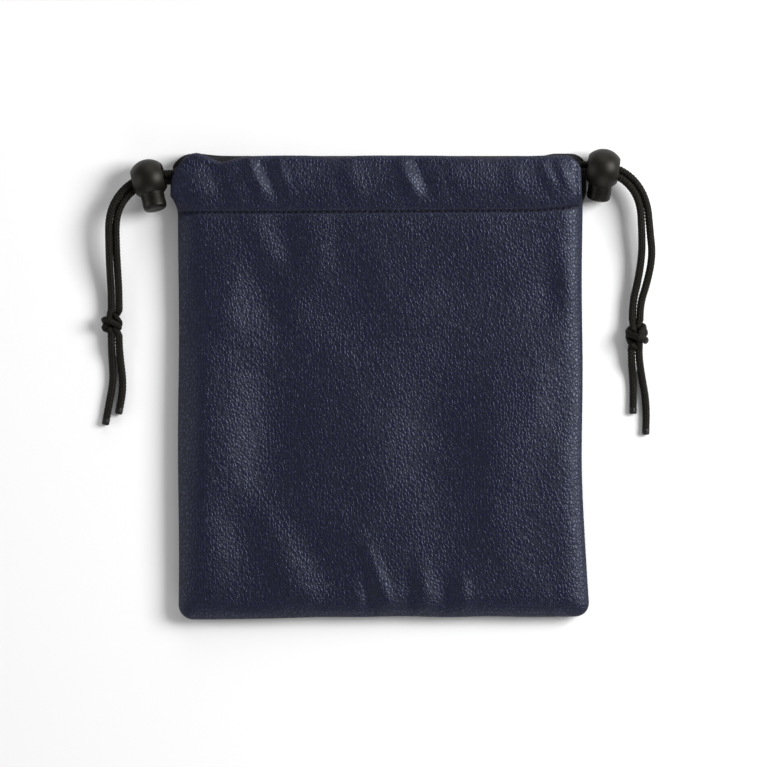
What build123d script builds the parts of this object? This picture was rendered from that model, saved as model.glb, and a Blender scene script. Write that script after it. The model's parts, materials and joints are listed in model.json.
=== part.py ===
from build123d import *
import math
import os

# A flat, lined drawstring pouch in leather-look sheet. Two drawcords run from side to side, one
# in the front hem and one in the back hem. At each side both cords leave the hem, pass through
# a ball cord lock and are tied together in an overhand knot with two loose tails.
# Millimetres. The pouch lies on z = 0 with its mouth towards +Y and its front panel facing +Z.

# ---- sheets ----
LEATHER = 1.1
LINING = 0.6
PLY_GAP = 0.3

# ---- levels above the surface that the pouch lies on ----
SEAM_Z = 5.8
BODY_TOP = 11.7
HEM_TOP = 15.3
FRONT_EDGE_ROUND = 3.0
BACK_EDGE_ROUND = 2.4

# ---- plan: corner x, y and rounding radius, going anticlockwise from the bottom left ----
LOWER_CORNERS = [(-93.8, -108.1, 7), (97.7, -106.4, 7), (94.4, -72.0, 40), (93.3, -30.0, 60)]
FRONT_RIGHT_CORNER = [(93.3, 106.6, 6)]
BACK_RIGHT_CORNER = [(93.9, 108.1, 7), (78.0, 106.6, 20)]
TOP_LEFT_CORNERS = [(-72.0, 106.6, 20), (-84.0, 108.1, 20), (-97.2, 108.1, 9), (-97.2, 92.0, 8)]
LEFT_CORNERS = TOP_LEFT_CORNERS + [(-93.8, 79.0, 8)]

# ---- hem ----
STITCH_Y = 80.9
HEM_FOOT_CORNERS = [(-94.4, STITCH_Y, 2), (93.3, STITCH_Y, 2)]
HEM_EDGE_Y = 105.2
TUNNEL_SLOT_TOP = 13.0
TUNNEL_SLOT_FROM_Y = 85.0
FRONT_FACING_Z = 9.8
BACK_FACING_Z = 4.9
FRONT_FACING_X = (-80.0, 74.0)
BACK_FACING_X = (-70.0, 66.0)
STITCH_PITCH = 2.87
STITCH_LENGTH = 2.1
STITCH_DIAMETER = 0.6

# ---- drawcords ----
CORD_DIAMETER = 3.4
TAIL_REST_Z = CORD_DIAMETER / 2 + 0.05
TIP_LENGTH = 2.4
TIP_DIAMETER = 3.5
ARC_SHARE = 0.45

# Each side's bend, which both cords go round on leaving the hem at hem_x: front and back are
# the two cords' offsets from the middle of the pair, outwards from the bend's centre and upwards.
LEFT_BEND = {
    "centre": (-101.2, 73.6), "radius": 23.15, "z": 9.5, "side": -1, "hem_x": -97.2,
    "front": (1.63, 0.62), "back": (-1.63, -0.62),
}
RIGHT_BEND = {
    "centre": (100.24, 79.64), "radius": 21.3, "z": 9.4, "side": 1, "hem_x": 93.3,
    "front": (-1.63, 0.62), "back": (1.63, -0.62),
}

# ---- ball cord lock, in its own frame: cords along X, plunger out of the -Y side ----
BALL_RADIUS = 9.25
BALL_BORE_RADIUS = 5.0
BALL_RIM_RADIUS = 5.7
FLARE_LENGTH = 0.8
POCKET_RADIUS = 5.6
POCKET_DOME_RADIUS = 8.45
PLUNGER_RADIUS = 5.45
PLUNGER_END = -15.0
PLUNGER_SHOULDER = 4.2
PLUNGER_CROWN = 5.4
PLUNGER_END_ROUND = 1.7
PLUNGER_RINGS = (-8.9, -10.0, -11.1)
RING_DEPTH = 0.25
RING_WIDTH = 0.4
SLOT_TOP = 3.55
SLOT_LENGTH = 10.55
SLOT_WIDTH = 6.6
SLOT_CORNER = 2.0
SPRING_SEAT_RADIUS = 2.7
SPRING_RADIUS = 2.1
SPRING_WIRE = 0.4
SPRING_PITCH = 0.8
SPRING_FROM = 4.55
SPRING_HEIGHT = 3.3

# Each lock's place on its bend, its turn about the vertical, and its roll about the cords
# (positive lowers the plunger) and tilt about the plunger, all in degrees. The ball's centre is
# outside and above the middle of the pair by out and up.
LEFT_LOCK = {"along": 15.5, "turn": 13.5, "roll": -12.0, "tilt": -4.0, "out": 0.0, "up": -0.2}
RIGHT_LOCK = {"along": -6.5, "turn": -8.5, "roll": 18.0, "tilt": 0.0, "out": -0.1, "up": 0.2}

# ---- knots ----
LEFT_KNOT = {"centre": (-123.2, 29.6, 4.75), "length": 12.0, "radius": 4.65, "face": 3.7}
RIGHT_KNOT = {"centre": (117.7, 24.3, 5.5), "length": 14.0, "radius": 5.4, "face": 4.4}


# ---- sheets of the pouch ----
def outline(corners, inset):
    """The plan of a panel as a face, drawn in by inset all round."""
    face = make_face(Polyline([(x, y) for x, y, _ in corners], close=True))
    for x, y, radius in corners:
        corner = face.vertices().sort_by_distance(Vector(x, y, 0))[0]
        face = fillet(corner, radius)
    return offset(face, -inset) if inset else face


def rounded_prism(face, low, high, rounded_z, radius):
    """The face extruded from low to high, with its edges at rounded_z rounded."""
    prism = extrude(Pos(0, 0, low) * face, high - low)
    ring = prism.edges().filter_by_position(Axis.Z, rounded_z - 0.01, rounded_z + 0.01)
    return fillet(ring, radius)


def front_form(inset):
    """The space under the front panel, drawn in by inset: the body and the fuller hem."""
    plan = outline(LOWER_CORNERS + FRONT_RIGHT_CORNER + LEFT_CORNERS, inset)
    hem_plan = outline(HEM_FOOT_CORNERS + FRONT_RIGHT_CORNER + TOP_LEFT_CORNERS, inset)
    radius = FRONT_EDGE_ROUND - inset / 2
    body = rounded_prism(plan, SEAM_Z, BODY_TOP - inset, BODY_TOP - inset, radius)
    hem = rounded_prism(hem_plan, SEAM_Z, HEM_TOP - inset, HEM_TOP - inset, radius)
    return body + hem


def back_form(inset):
    """The space in the back panel, drawn in by inset: a shallow tray."""
    plan = outline(LOWER_CORNERS + BACK_RIGHT_CORNER + LEFT_CORNERS, inset)
    return rounded_prism(plan, inset, SEAM_Z - PLY_GAP, inset, BACK_EDGE_ROUND - inset / 2)


def between(low, high):
    """A box from its lowest corner to its highest."""
    size = [h - l for l, h in zip(low, high)]
    return Pos(*low) * Box(*size, align=(Align.MIN, Align.MIN, Align.MIN))


def front_panel():
    """Front leather: body, hem and the fold at the mouth, open at the tunnel's two ends."""
    shell = front_form(0) - front_form(LEATHER)
    shell -= between((-110, STITCH_Y + 1.5, 0), (110, 120, FRONT_FACING_Z))
    for low, high in ((-110, -88), (88, 110)):
        shell -= between((low, TUNNEL_SLOT_FROM_Y, 0), (high, HEM_EDGE_Y, TUNNEL_SLOT_TOP))
    return shell


def back_panel():
    """Back leather: a shallow tray that lies on the surface, with a groove for the hem stitches."""
    shell = back_form(0) - back_form(LEATHER)
    return shell - between((-92.5, STITCH_Y - 0.9, -1), (92.5, STITCH_Y + 0.2, STITCH_DIAMETER + 0.1))


def lining(form, wall_from, wall_to):
    """A lining sheet just inside a panel's form, up to the hem stitching and short of the seam."""
    sheet = form(LEATHER + PLY_GAP) - form(LEATHER + PLY_GAP + LINING)
    return sheet & between((-110, -120, wall_from), (110, STITCH_Y - 1.7, wall_to))


def front_channel_facing():
    """The inner ply of the front tunnel."""
    low = (FRONT_FACING_X[0], STITCH_Y - 1.3, FRONT_FACING_Z)
    return between(low, (FRONT_FACING_X[1], HEM_EDGE_Y, FRONT_FACING_Z + LINING))


def back_channel_facing():
    """The inner ply of the back tunnel: it rises from the stitching over the cord."""
    foot = LEATHER + 0.2
    rise_from, rise_to = STITCH_Y - 0.3, STITCH_Y + 7.1
    profile = [(STITCH_Y - 1.3, foot), (rise_from, foot), (rise_to, BACK_FACING_Z), (HEM_EDGE_Y, BACK_FACING_Z)]
    upper = [(y, z + LINING) for y, z in reversed(profile)]
    face = make_face(Plane.YZ * Polyline(profile + upper, close=True))
    width = BACK_FACING_X[1] - BACK_FACING_X[0]
    return Pos(BACK_FACING_X[0], 0, 0) * extrude(face, width, dir=(1, 0, 0))


def stitch(place, direction):
    """One stitch of thread lying along direction with its middle at place."""
    start = Vector(*place) - Vector(*direction).normalized() * (STITCH_LENGTH / 2)
    return Plane(origin=start, z_dir=direction) * Cylinder(
        STITCH_DIAMETER / 2, STITCH_LENGTH, align=(Align.CENTER, Align.CENTER, Align.MIN)
    )


def hem_thread(z):
    """The row of stitches across one hem."""
    count = int(184 / STITCH_PITCH)
    first = -STITCH_PITCH * (count - 1) / 2
    return Compound([stitch((first + n * STITCH_PITCH, STITCH_Y - 0.35, z), (1, 0, 0)) for n in range(count)])


def seam_thread():
    """Stitches inside the turned seam, down both sides and along the bottom."""
    inset = LEATHER + STITCH_DIAMETER / 2 + 0.02
    plan = outline(LOWER_CORNERS + FRONT_RIGHT_CORNER + LEFT_CORNERS, inset)
    seam = plan.face().outer_wire()
    count = int(seam.length / STITCH_PITCH)
    stitches = []
    for n in range(count):
        place = seam.position_at(n / count)
        if place.Y < STITCH_Y - 4:
            direction = seam.tangent_at(n / count)
            stitches.append(stitch((place.X, place.Y, SEAM_Z - PLY_GAP / 2), (direction.X, direction.Y, 0)))
    return Compound(stitches)


# ---- drawcords ----
def bend_points(bend, which):
    """Three corners that carry a cord a quarter turn round its bend, from the hem to heading -Y."""
    cx, cy = bend["centre"]
    out, up = bend[which]
    reach = (bend["radius"] + out) / math.cos(math.radians(15))
    turns = [math.radians(a) for a in (15, 45, 75)]
    return [(cx + bend["side"] * reach * math.sin(a), cy + reach * math.cos(a), bend["z"] + up) for a in turns]


def hem_exit(bend, which, inside=0):
    """Where a cord leaves the end of its tunnel, or a point that far inside on the same line."""
    out, up = bend[which]
    x = bend["hem_x"] - bend["side"] * inside
    return (x, bend["centre"][1] + bend["radius"] + out, bend["z"] + up)


def corner_radii(points):
    """For each inner point, the largest arc that its two runs allow."""
    vectors = [Vector(*p) for p in points]
    radii = []
    for before, here, after in zip(vectors, vectors[1:], vectors[2:]):
        turn = math.radians((here - before).get_angle(after - here))
        shorter = min((here - before).length, (after - here).length)
        radii.append(ARC_SHARE * shorter / math.tan(turn / 2))
    return radii


def cord(name, points, diameter=CORD_DIAMETER):
    """A cord of round section along straight runs joined by tangent arcs."""
    radii = corner_radii(points)
    path = FilletPolyline(*points, radius=radii)
    section = Plane(origin=path @ 0, z_dir=path % 0) * Circle(diameter / 2)
    tube = sweep(section, path=path)
    expected = math.pi * (diameter / 2) ** 2 * path.length
    print(f"{name}: length {path.length:.1f}, radii {[round(r, 1) for r in radii]}, "
          f"volume ratio {tube.volume / expected:.4f}")
    return tube


def tip(points):
    """The melted end of a tail, beyond the last of its points."""
    end, before = Vector(*points[-1]), Vector(*points[-2])
    body = Cylinder(TIP_DIAMETER / 2, TIP_LENGTH, align=(Align.CENTER, Align.CENTER, Align.MIN))
    body = fillet(body.edges().sort_by(Axis.Z)[-1], 0.6)
    return Plane(origin=end + (end - before).normalized() * 0.01, z_dir=end - before) * body


def knot(spec):
    """The outer shape of an overhand knot, its two flat faces where the cords enter and leave."""
    half = spec["length"] / 2
    side = ThreePointArc((spec["face"], half), (spec["radius"], 0), (spec["face"], -half))
    profile = make_face(Polyline((spec["face"], -half), (0, -half), (0, half), (spec["face"], half)) + side)
    return Pos(*spec["centre"]) * revolve(profile, Axis.Y)


# Between the two ends of its tunnel a cord drifts up and down the tunnel's width.
FRONT_CHANNEL_ROUTE = [
    hem_exit(LEFT_BEND, "front"), hem_exit(LEFT_BEND, "front", inside=6.2), (-82.5, 97.2, 12.3),
    (-66.0, 94.6, 12.3), (-40.0, 93.0, 12.3), (-8.0, 95.4, 12.3), (26.0, 94.2, 12.3), (56.0, 96.2, 12.3),
    (76.0, 98.6, 12.3), hem_exit(RIGHT_BEND, "front", inside=6.8), hem_exit(RIGHT_BEND, "front"),
]
BACK_CHANNEL_ROUTE = [
    hem_exit(LEFT_BEND, "back"), hem_exit(LEFT_BEND, "back", inside=5.7), (-83.5, 94.5, 6.0),
    (-73.5, 93.4, 3.0), (-54.0, 91.4, 3.0), (-22.0, 93.4, 3.0), (12.0, 91.8, 3.0), (46.0, 93.6, 3.0),
    (69.0, 97.0, 3.0), (78.5, 99.8, 6.0), hem_exit(RIGHT_BEND, "back", inside=6.8), hem_exit(RIGHT_BEND, "back"),
]
LEFT_FRONT_ROUTE = [
    hem_exit(LEFT_BEND, "front"), *bend_points(LEFT_BEND, "front"),
    (-125.8, 64.5, 9.5), (-125.5, 53.5, 7.2), (-124.95, 43.5, 4.75), (-124.95, 35.6, 4.75),
]
LEFT_BACK_ROUTE = [
    hem_exit(LEFT_BEND, "back"), *bend_points(LEFT_BEND, "back"),
    (-122.5, 64.5, 8.3), (-122.0, 53.5, 6.2), (-121.45, 43.5, 4.75), (-121.45, 35.6, 4.75),
]
RIGHT_FRONT_ROUTE = [
    hem_exit(RIGHT_BEND, "front"), *bend_points(RIGHT_BEND, "front"),
    (120.6, 71.5, 9.6), (120.8, 61.0, 7.8), (119.0, 49.0, 6.3), (116.45, 38.3, 5.5), (116.45, 31.3, 5.5),
]
RIGHT_BACK_ROUTE = [
    hem_exit(RIGHT_BEND, "back"), *bend_points(RIGHT_BEND, "back"),
    (124.5, 71.5, 8.4), (125.7, 60.5, 7.2), (123.4, 48.5, 6.0), (119.95, 38.0, 5.5), (119.95, 31.3, 5.5),
]
LEFT_TAIL_A_ROUTE = [
    (-124.95, 23.6, 4.75), (-124.95, 19.2, 4.75), (-124.7, 11.5, TAIL_REST_Z), (-124.2, 3.0, TAIL_REST_Z),
    (-125.7, -5.5, TAIL_REST_Z), (-127.6, -15.5, TAIL_REST_Z),
]
LEFT_TAIL_B_ROUTE = [
    (-121.45, 23.6, 4.75), (-121.45, 19.2, 4.75), (-120.9, 11.5, TAIL_REST_Z), (-119.9, 3.5, TAIL_REST_Z),
    (-120.0, -4.0, TAIL_REST_Z), (-121.4, -10.5, TAIL_REST_Z),
]
RIGHT_TAIL_A_ROUTE = [
    (116.0, 17.3, 5.5), (116.0, 13.2, 5.5), (116.8, 5.0, TAIL_REST_Z), (117.2, -2.5, TAIL_REST_Z),
    (117.0, -10.3, TAIL_REST_Z),
]
RIGHT_TAIL_B_ROUTE = [
    (119.5, 17.3, 5.5), (119.5, 13.2, 5.5), (121.0, 4.5, TAIL_REST_Z), (122.7, -4.5, TAIL_REST_Z),
    (123.2, -13.0, TAIL_REST_Z), (122.9, -20.0, TAIL_REST_Z),
]


# ---- ball cord lock ----
def lock_bore():
    """The cross bore as a solid: straight in the middle, flared at both ends."""
    rim_x = math.sqrt(BALL_RADIUS**2 - BALL_RIM_RADIUS**2)
    spread = BALL_RIM_RADIUS - BALL_BORE_RADIUS
    half = [(rim_x - FLARE_LENGTH, BALL_BORE_RADIUS), (rim_x + 3 * FLARE_LENGTH, BALL_BORE_RADIUS + 4 * spread)]
    mirrored = [(-x, y) for x, y in reversed(half)]
    ends = [(half[-1][0], 0), (mirrored[0][0], 0)]
    return revolve(make_face(Polyline(half + ends + mirrored, close=True)), Axis.X)


def lock_ball():
    """The ball with the plunger's pocket, which is open at -Y and domed at its closed end."""
    mouth = (POCKET_RADIUS, -math.sqrt(BALL_RADIUS**2 - POCKET_RADIUS**2))
    corner = (POCKET_RADIUS, math.sqrt(POCKET_DOME_RADIUS**2 - POCKET_RADIUS**2))
    middle = POCKET_RADIUS / 2
    dome_middle = (middle, math.sqrt(POCKET_DOME_RADIUS**2 - middle**2))
    outside = ThreePointArc(mouth, (BALL_RADIUS, 0), (0, BALL_RADIUS))
    dome = ThreePointArc((0, POCKET_DOME_RADIUS), dome_middle, corner)
    profile = outside + Line((0, BALL_RADIUS), (0, POCKET_DOME_RADIUS)) + dome + Line(corner, mouth)
    return revolve(make_face(profile), Axis.Y)


def lock_housing():
    """The ball with its cross bore. The seam of the ball's surface is turned off the bore."""
    return Rot(0, 45, 0) * lock_ball() - lock_bore()


def lock_plunger():
    """The button: a crowned cylinder with a slot for the cords and a seat for the spring."""
    half = [
        (0, PLUNGER_END), (PLUNGER_RADIUS - PLUNGER_END_ROUND, PLUNGER_END),
        (PLUNGER_RADIUS, PLUNGER_END + PLUNGER_END_ROUND), (PLUNGER_RADIUS, PLUNGER_SHOULDER),
        (0, PLUNGER_CROWN),
    ]
    end_round = RadiusArc(half[1], half[2], -PLUNGER_END_ROUND)
    crown = ThreePointArc(half[3], (PLUNGER_RADIUS / 2, PLUNGER_CROWN - 0.3), half[4])
    outline_edges = Line(half[0], half[1]) + end_round + Line(half[2], half[3]) + crown + Line(half[4], half[0])
    body = revolve(make_face(outline_edges), Axis.Y)
    for y in PLUNGER_RINGS:
        ring = Cylinder(PLUNGER_RADIUS + 1, RING_WIDTH) - Cylinder(PLUNGER_RADIUS - RING_DEPTH, RING_WIDTH)
        body -= Pos(0, y, 0) * Rot(90, 0, 0) * ring
    slot_plan = RectangleRounded(SLOT_LENGTH, SLOT_WIDTH, SLOT_CORNER)
    slot = extrude(Plane.YZ * slot_plan, 10, both=True)
    body -= Pos(0, SLOT_TOP - SLOT_LENGTH / 2, 0) * slot
    seat = Rot(-90, 0, 0) * Cylinder(SPRING_SEAT_RADIUS, 3, align=(Align.CENTER, Align.CENTER, Align.MIN))
    return body - Pos(0, PLUNGER_SHOULDER, 0) * seat


def lock_spring():
    """The compression spring between the plunger's seat and the ball's pocket."""
    coil = Helix(SPRING_PITCH, SPRING_HEIGHT, SPRING_RADIUS)
    wire = sweep(Plane(origin=coil @ 0, z_dir=coil % 0) * Circle(SPRING_WIRE / 2), path=coil, is_frenet=True)
    return Pos(0, SPRING_FROM, 0) * Rot(-90, 0, 0) * wire


def lock_place(bend, lock):
    """Where a lock sits on its bend."""
    along = math.radians(lock["along"])
    reach = bend["radius"] + lock["out"]
    x = bend["centre"][0] - reach * math.sin(along)
    y = bend["centre"][1] + reach * math.cos(along)
    turn = Rot(0, 0, lock["turn"]) * Rot(lock["roll"], 0, 0) * Rot(0, lock["tilt"], 0)
    return Pos(x, y, bend["z"] + lock["up"]) * turn


def all_parts():
    """Every node's name and shape."""
    parts = {
        "front_panel": front_panel(),
        "back_panel": back_panel(),
        "front_lining": lining(front_form, SEAM_Z + 0.5, HEM_TOP),
        "back_lining": lining(back_form, 0, SEAM_Z - PLY_GAP - 0.5),
        "front_channel_facing": front_channel_facing(),
        "back_channel_facing": back_channel_facing(),
        "front_hem_thread": hem_thread(BODY_TOP + STITCH_DIAMETER / 2),
        "back_hem_thread": hem_thread(STITCH_DIAMETER / 2 + 0.05),
        "seam_thread": seam_thread(),
        "front_channel_cord": cord("front_channel_cord", FRONT_CHANNEL_ROUTE),
        "back_channel_cord": cord("back_channel_cord", BACK_CHANNEL_ROUTE),
        "left_front_cord": cord("left_front_cord", LEFT_FRONT_ROUTE),
        "left_back_cord": cord("left_back_cord", LEFT_BACK_ROUTE),
        "right_front_cord": cord("right_front_cord", RIGHT_FRONT_ROUTE),
        "right_back_cord": cord("right_back_cord", RIGHT_BACK_ROUTE),
        "left_knot": knot(LEFT_KNOT),
        "right_knot": knot(RIGHT_KNOT),
    }
    tails = {
        "left_outer_tail": LEFT_TAIL_A_ROUTE,
        "left_inner_tail": LEFT_TAIL_B_ROUTE,
        "right_inner_tail": RIGHT_TAIL_A_ROUTE,
        "right_outer_tail": RIGHT_TAIL_B_ROUTE,
    }
    for name, route in tails.items():
        parts[name] = cord(name, route)
        parts[name + "_tip"] = tip(route)
    for side, bend, lock in (("left", LEFT_BEND, LEFT_LOCK), ("right", RIGHT_BEND, RIGHT_LOCK)):
        place = lock_place(bend, lock)
        parts[side + "_lock_housing"] = place * lock_housing()
        parts[side + "_lock_plunger"] = place * lock_plunger()
        parts[side + "_lock_spring"] = place * lock_spring()
        push = Plane(place).y_dir
        print(f"{side} lock centre {tuple(place.position)}, push direction {tuple(push)}")
    return parts


os.makedirs("parts", exist_ok=True)
for node, shape in all_parts().items():
    export_step(shape, f"parts/{node}.step")
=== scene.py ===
import json
import math

import bpy
import numpy as np
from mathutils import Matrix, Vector, noise


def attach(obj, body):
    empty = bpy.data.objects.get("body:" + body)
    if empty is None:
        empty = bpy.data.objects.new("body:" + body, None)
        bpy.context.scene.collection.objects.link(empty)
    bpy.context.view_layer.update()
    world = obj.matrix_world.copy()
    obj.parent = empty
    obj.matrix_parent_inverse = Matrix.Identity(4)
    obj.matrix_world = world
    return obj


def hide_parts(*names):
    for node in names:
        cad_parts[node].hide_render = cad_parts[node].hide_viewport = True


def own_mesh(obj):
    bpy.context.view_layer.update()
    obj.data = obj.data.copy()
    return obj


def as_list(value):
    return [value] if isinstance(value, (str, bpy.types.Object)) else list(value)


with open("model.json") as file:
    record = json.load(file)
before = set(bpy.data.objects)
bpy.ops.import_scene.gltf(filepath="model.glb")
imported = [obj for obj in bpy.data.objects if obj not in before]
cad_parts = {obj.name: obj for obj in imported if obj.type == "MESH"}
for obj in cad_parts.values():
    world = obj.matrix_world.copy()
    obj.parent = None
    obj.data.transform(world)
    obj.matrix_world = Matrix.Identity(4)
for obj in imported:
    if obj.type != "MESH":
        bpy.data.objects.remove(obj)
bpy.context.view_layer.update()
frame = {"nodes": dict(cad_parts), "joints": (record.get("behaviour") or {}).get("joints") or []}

# A flat drawstring pouch in navy pebbled leather-look sheet, lying on its back panel with its
# mouth towards +Y. Shapes are worked out in millimetres in the frame of the CAD model and turned
# into metres when a mesh is made. Relief, puckers and sag are displacements made by formula.
MM = 0.001

# ---- camera ----
VIEW_WIDTH = 355.1
VIEW_CENTRE = (1.16, 1.39)
LENS = 200
SENSOR = 36
OUTLINE_LEVEL = 7.0

# ---- drawcords: the routes of the CAD model ----
CORD_DIAMETER = 3.4
REST_Z = CORD_DIAMETER / 2 + 0.09
TIP_LENGTH = 2.4
LEFT_BEND = {
    "centre": (-101.2, 73.6), "radius": 23.15, "z": 9.5, "side": -1, "hem_x": -97.2,
    "front": (1.63, 0.62), "back": (-1.63, -0.62),
}
RIGHT_BEND = {
    "centre": (100.24, 79.64), "radius": 21.3, "z": 9.4, "side": 1, "hem_x": 93.3,
    "front": (-1.63, 0.62), "back": (1.63, -0.62),
}

# ---- braid: slanting half columns round the cord, in mirrored pairs ----
BRAID_HALF_COLUMNS = 12
BRAID_PITCH = 1.55
BRAID_SLANT = 0.7
BRAID_DEPTH = 0.42
BRAID_SWELL = 0.12
RING_SPACING = 0.2
RING_POINTS = 60

# ---- pouch ----
LEATHER = 1.1
LINING = 0.5
LINING_GAP = 1.5
LINING_INSET = 1.8
SEAM_Z = 5.65
SEAM_GAP = 0.15
HALF_WIDTH = 93.8
BOTTOM_Y = -107.4
TOP_Y = 106.7
BODY_TOP = 11.6
HEM_TOP = 15.3
HEM_LIFT = 2.2
HEM_LIFT_RUN = 45
HEM_CREST = 14
MOUTH_FALL = 1.2
SHOULDER = 13.0
SHOULDER_POWER = 2.2
BACK_SHOULDER = 6.5
BACK_SHOULDER_POWER = 2.3
LIP = 1.0
TUNNEL_RISE = 6.0
FRONT_FOLD = 2.0
BACK_FOLD = 2.5
STITCH_Y = 80.8
STITCH_PITCH = 2.87
STITCHED_WIDTH = 184
STITCH_RINGS = 9
STITCH_SIDES = 10
SEAM_INSET = 1.25
THREAD = 0.74
PEBBLE = 1.5

# ---- floor ----
FLOOR_GAP = 0.02
FLOOR_Z = -0.05
FLOOR_HALF = 4000.0


# ---- small helpers ----
NOISE_GAIN = 1.6


def smooth(t):
    """A smooth step from 0 to 1 as t goes from 0 to 1."""
    t = np.clip(t, 0, 1)
    return t * t * (3 - 2 * t)


def hill(distance, width):
    """A smooth hill, 1 at distance 0, that fades over about its width."""
    return np.exp(-((distance / width) ** 2))


def noise_field(x, y, size, seed):
    """Smooth noise from about -1 to 1 over the plane, with lumps of about that size."""
    flat = zip(np.ravel(x) / size, np.ravel(y) / size)
    values = [noise.noise((a, b, seed)) for a, b in flat]
    return np.reshape(values, np.shape(x)) * NOISE_GAIN


def grid_faces(rows, columns, closed=False):
    """Quads between the points of a grid; closed joins the last column to the first."""
    index = np.arange(rows * columns).reshape(rows, columns)
    if closed:
        index = np.hstack([index, index[:, :1]])
    corners = (index[:-1, :-1], index[:-1, 1:], index[1:, 1:], index[1:, :-1])
    return np.stack([c.ravel() for c in corners], axis=1)


def add_object(name, data):
    """A new object in the scene."""
    made = bpy.data.objects.new(name, data)
    bpy.context.collection.objects.link(made)
    return made


def make_piece(name, points, faces, material, body, replaces=()):
    """A smooth mesh from points in millimetres, riding on a body and standing for CAD nodes."""
    mesh = bpy.data.meshes.new(name)
    mesh.from_pydata((np.asarray(points) * MM).tolist(), [], [list(map(int, f)) for f in faces])
    mesh.validate()
    mesh.materials.append(material)
    mesh.shade_smooth()
    piece = add_object(name, mesh)
    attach(piece, body)
    if replaces:
        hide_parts(*replaces)
    return piece


def add_attribute(piece, name, values):
    """A number for each vertex, which a material reads by name."""
    attribute = piece.data.attributes.new(name, "FLOAT", "POINT")
    attribute.data.foreach_set("value", np.asarray(values, np.float32).ravel())


def thicken(piece, thickness, backing=0):
    """Gives a sheet its thickness on its inner side, whose faces get the backing'th material."""
    modifier = piece.modifiers.new("thickness", "SOLIDIFY")
    modifier.thickness = thickness * MM
    modifier.offset = -1
    modifier.material_offset = backing
    evaluated = piece.evaluated_get(bpy.context.evaluated_depsgraph_get())
    mesh = bpy.data.meshes.new_from_object(evaluated)
    piece.modifiers.clear()
    piece.data = mesh


# ---- camera ----
def make_camera():
    """A long lens straight above the pouch, with the photograph's framing."""
    data = bpy.data.cameras.new("camera")
    data.lens = LENS
    data.sensor_width = SENSOR
    camera = add_object("camera", data)
    distance = VIEW_WIDTH * LENS / SENSOR
    camera.location = Vector((*VIEW_CENTRE, OUTLINE_LEVEL + distance)) * MM
    bpy.context.scene.camera = camera


make_camera()


# ---- materials ----
class Shader:
    """A material with one Principled shader, and short calls that add and link nodes."""

    def __init__(self, name, **settings):
        self.material = bpy.data.materials.new(name)
        self.material.use_nodes = True
        self.tree = self.material.node_tree
        self.principled = self.tree.nodes["Principled BSDF"]
        for socket, value in settings.items():
            self.principled.inputs[socket.replace("_", " ")].default_value = value

    def node(self, kind, inputs=None, **options):
        """A node of that kind; inputs are numbers, colours or other nodes' outputs."""
        made = self.tree.nodes.new("ShaderNode" + kind)
        for option, value in options.items():
            setattr(made, option, value)
        for socket, value in (inputs or {}).items():
            self.set(made, socket, value)
        return made

    def set(self, node, socket, value):
        """Links an output to a socket, or gives the socket that value."""
        if isinstance(value, bpy.types.NodeSocket):
            self.tree.links.new(value, node.inputs[socket])
        else:
            node.inputs[socket].default_value = value

    def place(self, scale=(1, 1, 1)):
        """Coordinates in millimetres in the frame, scaled along each axis."""
        coordinates = self.node("TexCoord").outputs["Object"]
        per_mm = tuple(s / MM for s in scale)
        return self.node("Mapping", {"Vector": coordinates, "Scale": per_mm}).outputs["Vector"]

    def noise(self, size, detail=3, roughness=0.5, scale=(1, 1, 1)):
        """Noise with lumps of that size in millimetres."""
        inputs = {"Vector": self.place(scale), "Scale": 1 / size, "Detail": detail, "Roughness": roughness}
        return self.node("TexNoise", inputs).outputs["Fac"]

    def math(self, operation, a, b):
        """The result of an operation on two numbers or outputs."""
        return self.node("Math", {0: a, 1: b}, operation=operation).outputs[0]

    def steps(self, value, low, high, to_low=0.0, to_high=1.0):
        """The value's range from low to high taken smoothly to another range."""
        inputs = {"Value": value, "From Min": low, "From Max": high, "To Min": to_low, "To Max": to_high}
        return self.node("MapRange", inputs, interpolation_type="SMOOTHSTEP").outputs["Result"]

    def blend(self, factor, colour_a, colour_b):
        """Colour a where factor is 0 and colour b where it is 1."""
        inputs = {0: factor, 6: colour_a, 7: colour_b}
        return self.node("Mix", inputs, data_type="RGBA").outputs[2]

    def bump(self, height, distance, strength=1.0):
        """A normal from a height in units of distance, in millimetres."""
        inputs = {"Height": height, "Distance": distance * MM, "Strength": strength}
        return self.node("Bump", inputs).outputs["Normal"]

    def finish(self, colour=None, roughness=None, normal=None):
        """Links what is given to the shader and returns the material."""
        for socket, value in (("Base Color", colour), ("Roughness", roughness), ("Normal", normal)):
            if value is not None:
                self.set(self.principled, socket, value)
        return self.material


def rgb(red, green, blue):
    """An opaque colour from its linear parts."""
    return (red, green, blue, 1.0)


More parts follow.
